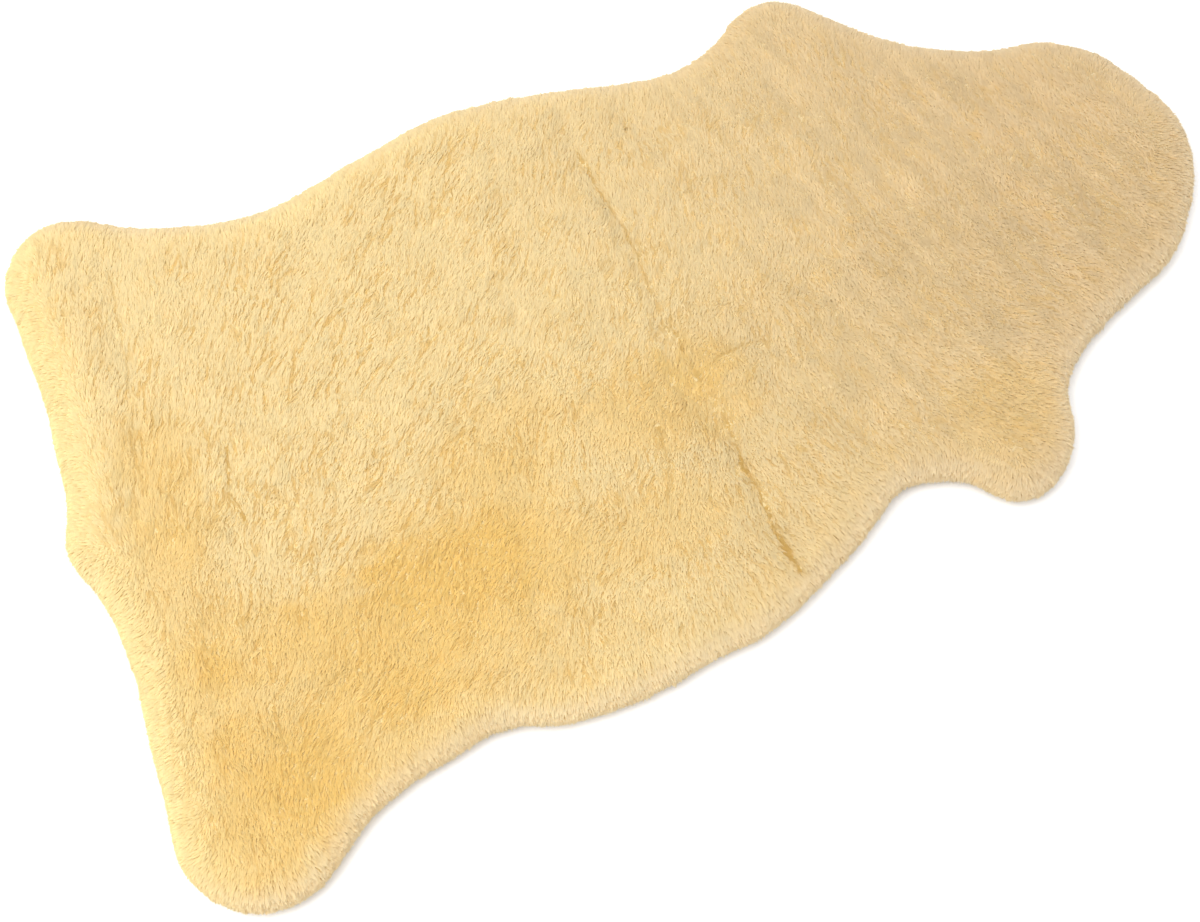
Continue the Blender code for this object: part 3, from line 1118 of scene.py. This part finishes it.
    def roots(self, draw: np.random.Generator) -> tuple[Array, Array]:
        """Spreads the strands' roots evenly over the underfleece, by area.

        Args:
            draw: the random numbers.

        Returns:
            Roots and surface normals, sorted by x.
        """
        points, faces = self.ground.points, self.ground.faces
        across = crosses(points, faces)
        size = np.linalg.norm(across, axis=1)
        weight = size * (across[:, 2] / np.maximum(size, 1e-12) > self.least_up)
        weight *= 1 + eased(*self.dense_band, self.skin.at("depth", points[faces].sum(1)[:, :2] / 3))
        turn = np.arange(self.strands)
        face = np.searchsorted(np.cumsum(weight) / weight.sum(), (turn + 0.5) / self.strands)
        face = np.minimum(face, len(faces) - 1)
        place = turn[:, None] * np.array(self.spread) + self.jitter * draw.normal(size=(self.strands, 2))
        first, second = (place % 1.0).T
        fold = first + second > 1
        first[fold], second[fold] = 1 - first[fold], 1 - second[fold]
        parts = np.stack([1 - first - second, first, second], 1)[..., None]
        root = (points[faces[face]] * parts).sum(1)
        normal = unit((self.ground.vertex_normals()[faces[face]] * parts).sum(1))
        order = np.argsort(root[:, 0], kind="stable")
        return root[order], normal[order]

    def nap(self, plan: Array) -> Array:
        """The way the wool is brushed.

        Args:
            plan: plan points.

        Returns:
            Directions in plan, as angles in radians.
        """
        x, y = plan.T
        low_side = eased(*self.low_x_band, x) * eased(*self.low_y_band, y)
        angle = np.radians(self.habit("nap", x) + self.low_side_turn * low_side)
        return sum((noise.at(plan) for noise in self.nap_noises), start=angle)

    def grow(self) -> dict[str, Array]:
        """Works out every strand's root, bend, tip, width and tints.

        Returns:
            Arrays by name, one row a strand.
        """
        draw = np.random.default_rng(self.seed)
        root, normal = self.roots(draw)
        plan = root[:, :2]
        x = plan[:, 0]
        count = len(x)
        depth = self.skin.at("depth", plan)
        near_rim, edge = eased(*self.rim_band, depth), eased(*self.edge_band, depth)
        lean, stray = np.radians(self.habit("lean", x)), np.radians(self.habit("stray", x))
        height = self.habit("height", x)
        angle = self.nap(plan)
        way = self.facing(plan, draw)
        middle = plan + heading(angle) * (0.5 * (way * height * np.tan(lean)))[:, None]
        deep, fold, (follow, line), habits = self.partings(middle, angle, near_rim)
        ripple = self.rippled(middle) * eased(*self.ripple_band, x) * (1 - near_rim)
        angle = angle - follow * np.arcsin(np.sin(angle - line)) * np.sign(np.cos(angle - line))
        strayed = stray * draw.normal(size=count) * (1 - self.calm_rim * near_rim)
        angle = angle + self.turn_lock * habits[:, 0] + strayed
        flow = self.over_rim(way[:, None] * heading(angle), normal, plan, near_rim)
        strength = np.clip(np.linalg.norm(flow, axis=1), 0.0, 1.0)
        steep = lean * (self.least_lean + self.flow_lean * strength)
        steep = steep + stray * self.tilt_stray * draw.normal(size=count) - self.tilt_edge * edge
        steep = np.clip(steep, *self.tilts)[:, None]
        taller = 1 + self.height_lock * habits[:, 2] + self.height_ripple * ripple
        height = height * (taller + self.height_strand * draw.normal(size=count))
        height *= 1 - self.height_parting * deep
        half = 0.5 * (height[:, None] / np.maximum(np.cos(steep), self.least_cosine))
        flow = self.curled(flow, normal, plan, strength)
        low, high = (unit(normal * np.cos(k * steep) + flow * np.sin(k * steep)) for k in self.bends)
        start = root - normal * (self.sunk + self.crevice_depth * deep)[:, None]
        bend = start + low * half
        tip = bend + high * half
        causes = (draw.normal(size=count), habits[:, 3], ripple, near_rim, fold, deep)
        tints, wisp = self.tints(plan, depth, causes, draw)
        narrow = 1 - self.width_edge * edge - self.width_wisp * wisp + self.width_parting * deep
        return {
            "start": self.waved(start, near_rim),
            "bend": self.waved(bend, near_rim),
            "tip": self.waved(tip, near_rim),
            "up": unit(normal + UP * near_rim[:, None]),
            "twist": draw.normal(0.0, self.twist, count),
            "width": self.habit("width", x) * draw.uniform(*self.widths, count) * narrow,
            **tints,
        }

    def tints(
        self, plan: Array, depth: Array, causes: tuple[Array, ...], draw: np.random.Generator
    ) -> tuple[dict[str, Array], Array]:
        """Works out every strand's tone and tints.

        Args:
            plan: the roots.
            depth: how far inside the outline they lie.
            causes: what tone_shares weighs, in its order.
            draw: the random numbers.

        Returns:
            WOOL_NUMBERS by name, apart from tip, and how far each strand is a pale wisp.
        """
        x, deep = plan[:, 0], causes[-1]
        # The wool's own tone by chance and lock, with painted light on ripple ridges and at the rim, and
        # painted shade in ripple hollows, folds and partings.
        tone = sum((share * cause for share, cause in zip(self.tone_shares, causes)), start=1.0)
        wisp = (draw.uniform(size=len(x)) < self.wisps) * eased(*self.wisp_band, x) * (1 - deep)
        outward = self.skin.outward(plan)
        lit_side = np.clip(self.to_light[0] * outward[:, 0] + self.to_light[1] * outward[:, 1], 0.0, 1.0)
        # Painted light: the rim that faces the light, most of all towards the tail, is tinted cream.
        lit_rim = eased(*self.painted_light_rim_band, depth) * lit_side * eased(*self.painted_light_x_band, x)
        return {
            "tone": np.clip(tone, *self.tones),
            "deep": deep,
            "cream_and_painted_light": np.maximum(lit_rim, self.cream_wisp * wisp),
            # Painted shade on the rim that faces away from the light.
            "painted_rim_shade": eased(*self.painted_rim_shade_band, depth) * (1 - lit_side),
            "stain": np.max([mark.at(plan, self.stain_core) for mark in self.stains], axis=0),
        }, wisp

    def facing(self, plan: Array, draw: np.random.Generator) -> Array:
        """Which way strands lie on either side of the spine: 1 along the nap, -1 against it."""
        side = (plan[:, 1] + self.spine_sway.at(plan)) / self.spine_band
        return np.where(draw.uniform(-1.0, 1.0, len(plan)) < side, 1.0, -1.0)

    def rippled(self, plan: Array) -> Array:
        """Long faint ridges at plan points, -1 to 1."""
        local = turned(plan, -math.radians(self.ripple_turn)) / (self.ripple_stretch, 1.0)
        return self.ripples.at(local)

    def over_rim(self, brushed: Array, normal: Array, plan: Array, near_rim: Array) -> Array:
        """Lays the nap along the surface and lets it fall over the edge of the rug.

        Args:
            brushed: the way the wool is brushed, in plan.
            normal: the surface's normals.
            plan: the roots.
            near_rim: how near the edge they lie, 0 to 1.

        Returns:
            Directions along the surface, shorter than 1 where the wool stands up between two of them.
        """
        level = np.clip(normal[:, 2], 0.0, 1.0)[:, None]
        falling = np.column_stack([self.skin.outward(plan) * level, level[:, 0] - 1.0])
        flat, over = (unit(along_surface(way, normal)) for way in (at_height(brushed, 0.0), falling))
        return flat * (1 - near_rim)[:, None] + over * near_rim[:, None]

    def curled(self, flow: Array, normal: Array, plan: Array, strength: Array) -> Array:
        """Turns the nap into curls, most of all where it has no strong direction.

        Args:
            flow: directions along the surface.
            normal: the surface's normals.
            plan: the roots.
            strength: how strong the direction is, 0 to 1.

        Returns:
            Unit directions along the surface.
        """
        curl = at_height(np.stack([noise.at(plan) for noise in self.curls], 1), 0.0)
        amount = self.habit("curl", plan[:, 0]) + self.loose_curl * (1 - strength)
        return unit(flow + amount[:, None] * along_surface(curl, normal))

    def waved(self, points: Array, near_rim: Array) -> Array:
        """Moves points with the wool's waves, which fade at the edge.

        Args:
            points: places in space.
            near_rim: how near the edge they lie, 0 to 1.

        Returns:
            The moved points, none of them below the floor.
        """
        moved = points.copy()
        for turn, wave in enumerate(self.waves):
            moved[:, turn % 2] += wave.at(points[:, :2]) * (1 - self.still_rim * near_rim)
        moved[:, 2] = np.maximum(moved[:, 2], self.floor_gap)
        return moved

    def partings(
        self, plan: Array, angle: Array, near_rim: Array
    ) -> tuple[Array, Array, tuple[Array, Array], Array]:
        """Where the wool parts, between its locks and over the skin's creases.

        Args:
            plan: the middles of the strands.
            angle: the way they are brushed, in radians.
            near_rim: how near the edge they lie, 0 to 1.

        Returns:
            How deep each one lies in a parting, 0 to 1; how deep in a fold of the skin, a mask of painted
            shade in and beside the crease; how closely it follows a line, 0 to 1, and that line's direction;
            and its lock's habits.
        """
        count = len(plan)
        turns = np.radians(self.lock_turns)
        nearest = np.abs((angle + self.lock_sway.at(plan))[:, None] - turns[None]).argmin(1)
        deep, fold, follow, ahead = np.zeros((4, count))
        habits = np.zeros((count, 4))
        for kind in self.kinds:
            share = self.habit(kind.habit, plan[:, 0]) * kind.strength
            share = share * eased(*self.thinned_band, kind.thinned.at(plan))
            half = kind.half_width
            for k, turn in enumerate(turns):
                rows = np.flatnonzero(nearest == k)
                found = kind.nearest(plan[rows], turn, np.random.default_rng(kind.seed + k))
                habits[rows], edge, parting, out = found
                across = np.abs(out[:, 1] * np.cos(turn) - out[:, 0] * np.sin(turn))
                parting = parting * share[rows] * eased(*self.across_band, across)
                deep[rows] = np.maximum(deep[rows], eased(half, self.parting_core * half, edge) * parting)
                close = eased(self.parting_reach * half, half, edge) * parting
                self.follow_line(follow, ahead, rows, close, out)
        deep *= 1 - self.parting_rim * near_rim
        uneven = np.clip(self.crease_mean + self.crease_sway.at(plan), *self.crease_limits)
        frayed = sum(noise.at(plan) for noise in self.frays)
        for crease in self.creases:
            far, out = crease.nearest(plan)
            half = crease.half_width
            cut = eased(half, 0.0, far + half * frayed) * crease.strength * uneven
            # Painted shade in and beside the crease, carried by the fold mask.
            beside = self.shade * crease.strength * eased(*(k * half for k in self.shade_band), far)
            deep = np.maximum(deep, np.minimum(cut, 1.0))
            fold = np.maximum(fold, np.minimum(np.maximum(cut, beside), 1.0))
            close = self.follow_share * eased(*self.follow_band, far) * min(crease.strength, 1.0)
            self.follow_line(follow, ahead, np.arange(count), close, out)
        return deep, fold, (follow, ahead), habits

    @staticmethod
    def follow_line(follow: Array, ahead: Array, rows: Array, close: Array, out: Array) -> None:
        """Turns strands along the parting that they lie closest to.

        Args:
            follow: how closely each strand follows a line so far, changed in place.
            ahead: that line's direction, changed in place.
            rows: the strands that a new line may turn.
            close: how closely each of them would follow it.
            out: the way out of the new line.
        """
        more = close > follow[rows]
        follow[rows[more]] = close[more]
        ahead[rows[more]] = np.arctan2(out[more, 1], out[more, 0]) + math.pi / 2

    def build(self) -> list[Object]:
        """Makes the wool, one piece a zone.

        Returns:
            The pieces, from rump to neck.
        """
        grown = self.grow()
        material = self.finish.material()
        pieces = []
        for zone, part in zip(Zone, np.array_split(np.arange(self.strands), len(Zone))):
            pieces.append(self.zone_piece(zone, {k: v[part] for k, v in grown.items()}, material))
        return pieces

    def zone_piece(self, zone: Zone, grown: dict[str, Array], material: Material) -> Object:
        """Makes one zone's strands as blades of three triangles.

        Args:
            zone: which part of the fleece.
            grown: its strands.
            material: the wool's finish.

        Returns:
            The piece.
        """
        start, bend, tip, twist = grown["start"], grown["bend"], grown["tip"], grown["twist"][:, None]
        count, corners = len(start), len(self.corner_tips)
        along = unit(tip - start)
        flat = unit(np.cross(along, UP) + 1e-6)
        across = flat * np.cos(twist) + np.cross(along, flat) * np.sin(twist)
        half = across * (grown["width"] / 2)[:, None]
        points = np.stack([start - half, start + half, bend - half, bend + half, tip], 1).reshape(-1, 3)
        points[:, 2] = np.maximum(points[:, 2], self.least_height)
        faces = (np.array(self.blade) + corners * np.arange(count)[:, None, None]).reshape(-1, 3)
        piece = mesh_piece(zone.value, points, faces, material)
        facing = np.cross(across, along) * (1 - self.soften) + grown["up"] * self.soften
        side = (np.array(self.corner_sides) * self.round)[None, :, None]
        normals = unit((facing[:, None] + side * across[:, None]).reshape(-1, 3))
        piece.data.normals_split_custom_set_from_vertices(normals.tolist())
        numbers = {name: np.repeat(grown[name], corners) for name in WOOL_NUMBERS[1:]}
        put_numbers(piece, {"tip": np.tile(self.corner_tips, count), **numbers})
        self.lay_map(piece, count)
        fit_on_rug(piece)
        return piece

    def lay_map(self, piece: Object, count: int) -> None:
        """Gives each strand its own small cell of the piece's texture map.

        Args:
            piece: the piece.
            count: its strands.
        """
        side = math.ceil(math.sqrt(count))
        cell = np.stack([np.arange(count) % side, np.arange(count) // side], 1)
        places = (cell[:, None] + np.array(self.corner_cells)[np.ravel(self.blade)][None]) / side
        layer = piece.data.uv_layers.new(name=BAKE_MAP, do_init=False)
        layer.uv.foreach_set("vector", places.astype(np.float32).ravel())


def put_aimed(name: str, data: ID, place: Vector, ahead: Vector, roll: float) -> Object:
    """Adds a camera or a light to the scene.

    Args:
        name: its name.
        data: the camera or the light.
        place: where it stands.
        ahead: the way it looks.
        roll: its turn about that way, in degrees.

    Returns:
        The object.
    """
    made = bpy.data.objects.new(name, data)
    made.location = place
    made.rotation_mode = "QUATERNION"
    made.rotation_quaternion = ahead.to_track_quat("-Z", "Y") @ Quaternion(UP, math.radians(roll))
    bpy.context.scene.collection.objects.link(made)
    return made


@dataclass(frozen=True)
class Softbox:
    """A square area light aimed at the middle of the rug; metres and watts."""

    name: str
    place: tuple[float, float, float]
    side: float
    power: float

    def hang(self) -> None:
        """Adds the light to the scene."""
        data = bpy.data.lights.new(self.name, "AREA")
        data.size = self.side
        data.energy = self.power
        put_aimed(self.name, data, Vector(self.place), -Vector(self.place), 0.0)


@dataclass
class Studio:
    """Floor, soft lights and the camera; metres and degrees."""

    azimuth: float = -14.13
    elevation: float = 68.0
    roll: float = -10.0
    distance: float = 1.3044
    aim: tuple[float, float, float] = (-0.0711, -0.0825, 0.0)
    field_of_view: float = 40.0
    sensor: float = 36.0
    floor_side: float = 12.0
    lights: tuple[Softbox, ...] = (
        Softbox("key", (-1.7, 0.25, 2.1), 1.8, 27.5),
        Softbox("overhead", (-0.3, 0.1, 2.6), 2.4, 37.0),
    )
    room_colour: Colour = (1.0, 1.0, 1.0, 1.0)
    room_strength: float = 1.04
    diffuse_bounces: int = 8

    def build(self) -> None:
        """Makes the studio."""
        self.make_floor()
        self.make_camera()
        self.make_lights()

    def make_floor(self) -> None:
        """Lays the floor just under the rug."""
        half = self.floor_side / 2
        corners = np.array([(-half, -half, 0.0), (half, -half, 0.0), (half, half, 0.0), (-half, half, 0.0)])
        floor = mesh_piece("floor", corners, np.array([[0, 1, 2], [0, 2, 3]]), FloorFinish().material())

    def make_camera(self) -> None:
        """Places the camera at the photograph's angle."""
        a, e = math.radians(self.azimuth), math.radians(self.elevation)
        back = Vector((math.sin(a) * math.cos(e), -math.cos(a) * math.cos(e), math.sin(e)))
        data = bpy.data.cameras.new("camera")
        data.sensor_fit = "HORIZONTAL"
        data.sensor_width = self.sensor
        data.lens = self.sensor / 2 / math.tan(math.radians(self.field_of_view) / 2)
        place = Vector(self.aim) + back * self.distance
        bpy.context.scene.camera = put_aimed("camera", data, place, -back, self.roll)

    def make_lights(self) -> None:
        """Hangs a soft light off the rump and one over the back, in a pale room."""
        for light in self.lights:
            light.hang()
        world = bpy.data.worlds.new("room")
        world.use_nodes = True
        world.node_tree.nodes["Background"].inputs["Color"].default_value = self.room_colour
        world.node_tree.nodes["Background"].inputs["Strength"].default_value = self.room_strength
        bpy.context.scene.world = world
        bpy.context.scene.view_settings.view_transform = "Standard"
        bpy.context.scene.cycles.diffuse_bounces = self.diffuse_bounces


def main() -> None:
    """Builds the rug and its studio."""
    logging.basicConfig(level=logging.INFO, format="%(name)s: %(message)s")
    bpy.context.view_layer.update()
    skin = SkinMap()
    log.info("outline of %d points read from the solid", len(skin.outline))
    hide = Hide(skin)
    hide_piece = hide.build()
    log.info("hide: %d faces, %.3f square metres", len(hide_piece.data.polygons), hide.area())
    ground = Underfleece(skin)
    ground_piece = ground.build()
    log.info("underfleece: %d faces", len(ground_piece.data.polygons))
    wool = Coat(skin, ground).build()
    for piece in wool:
        log.info("%s: %d faces", piece.name, len(piece.data.polygons))
    Studio().build()


if __name__ == "__main__":
    main()
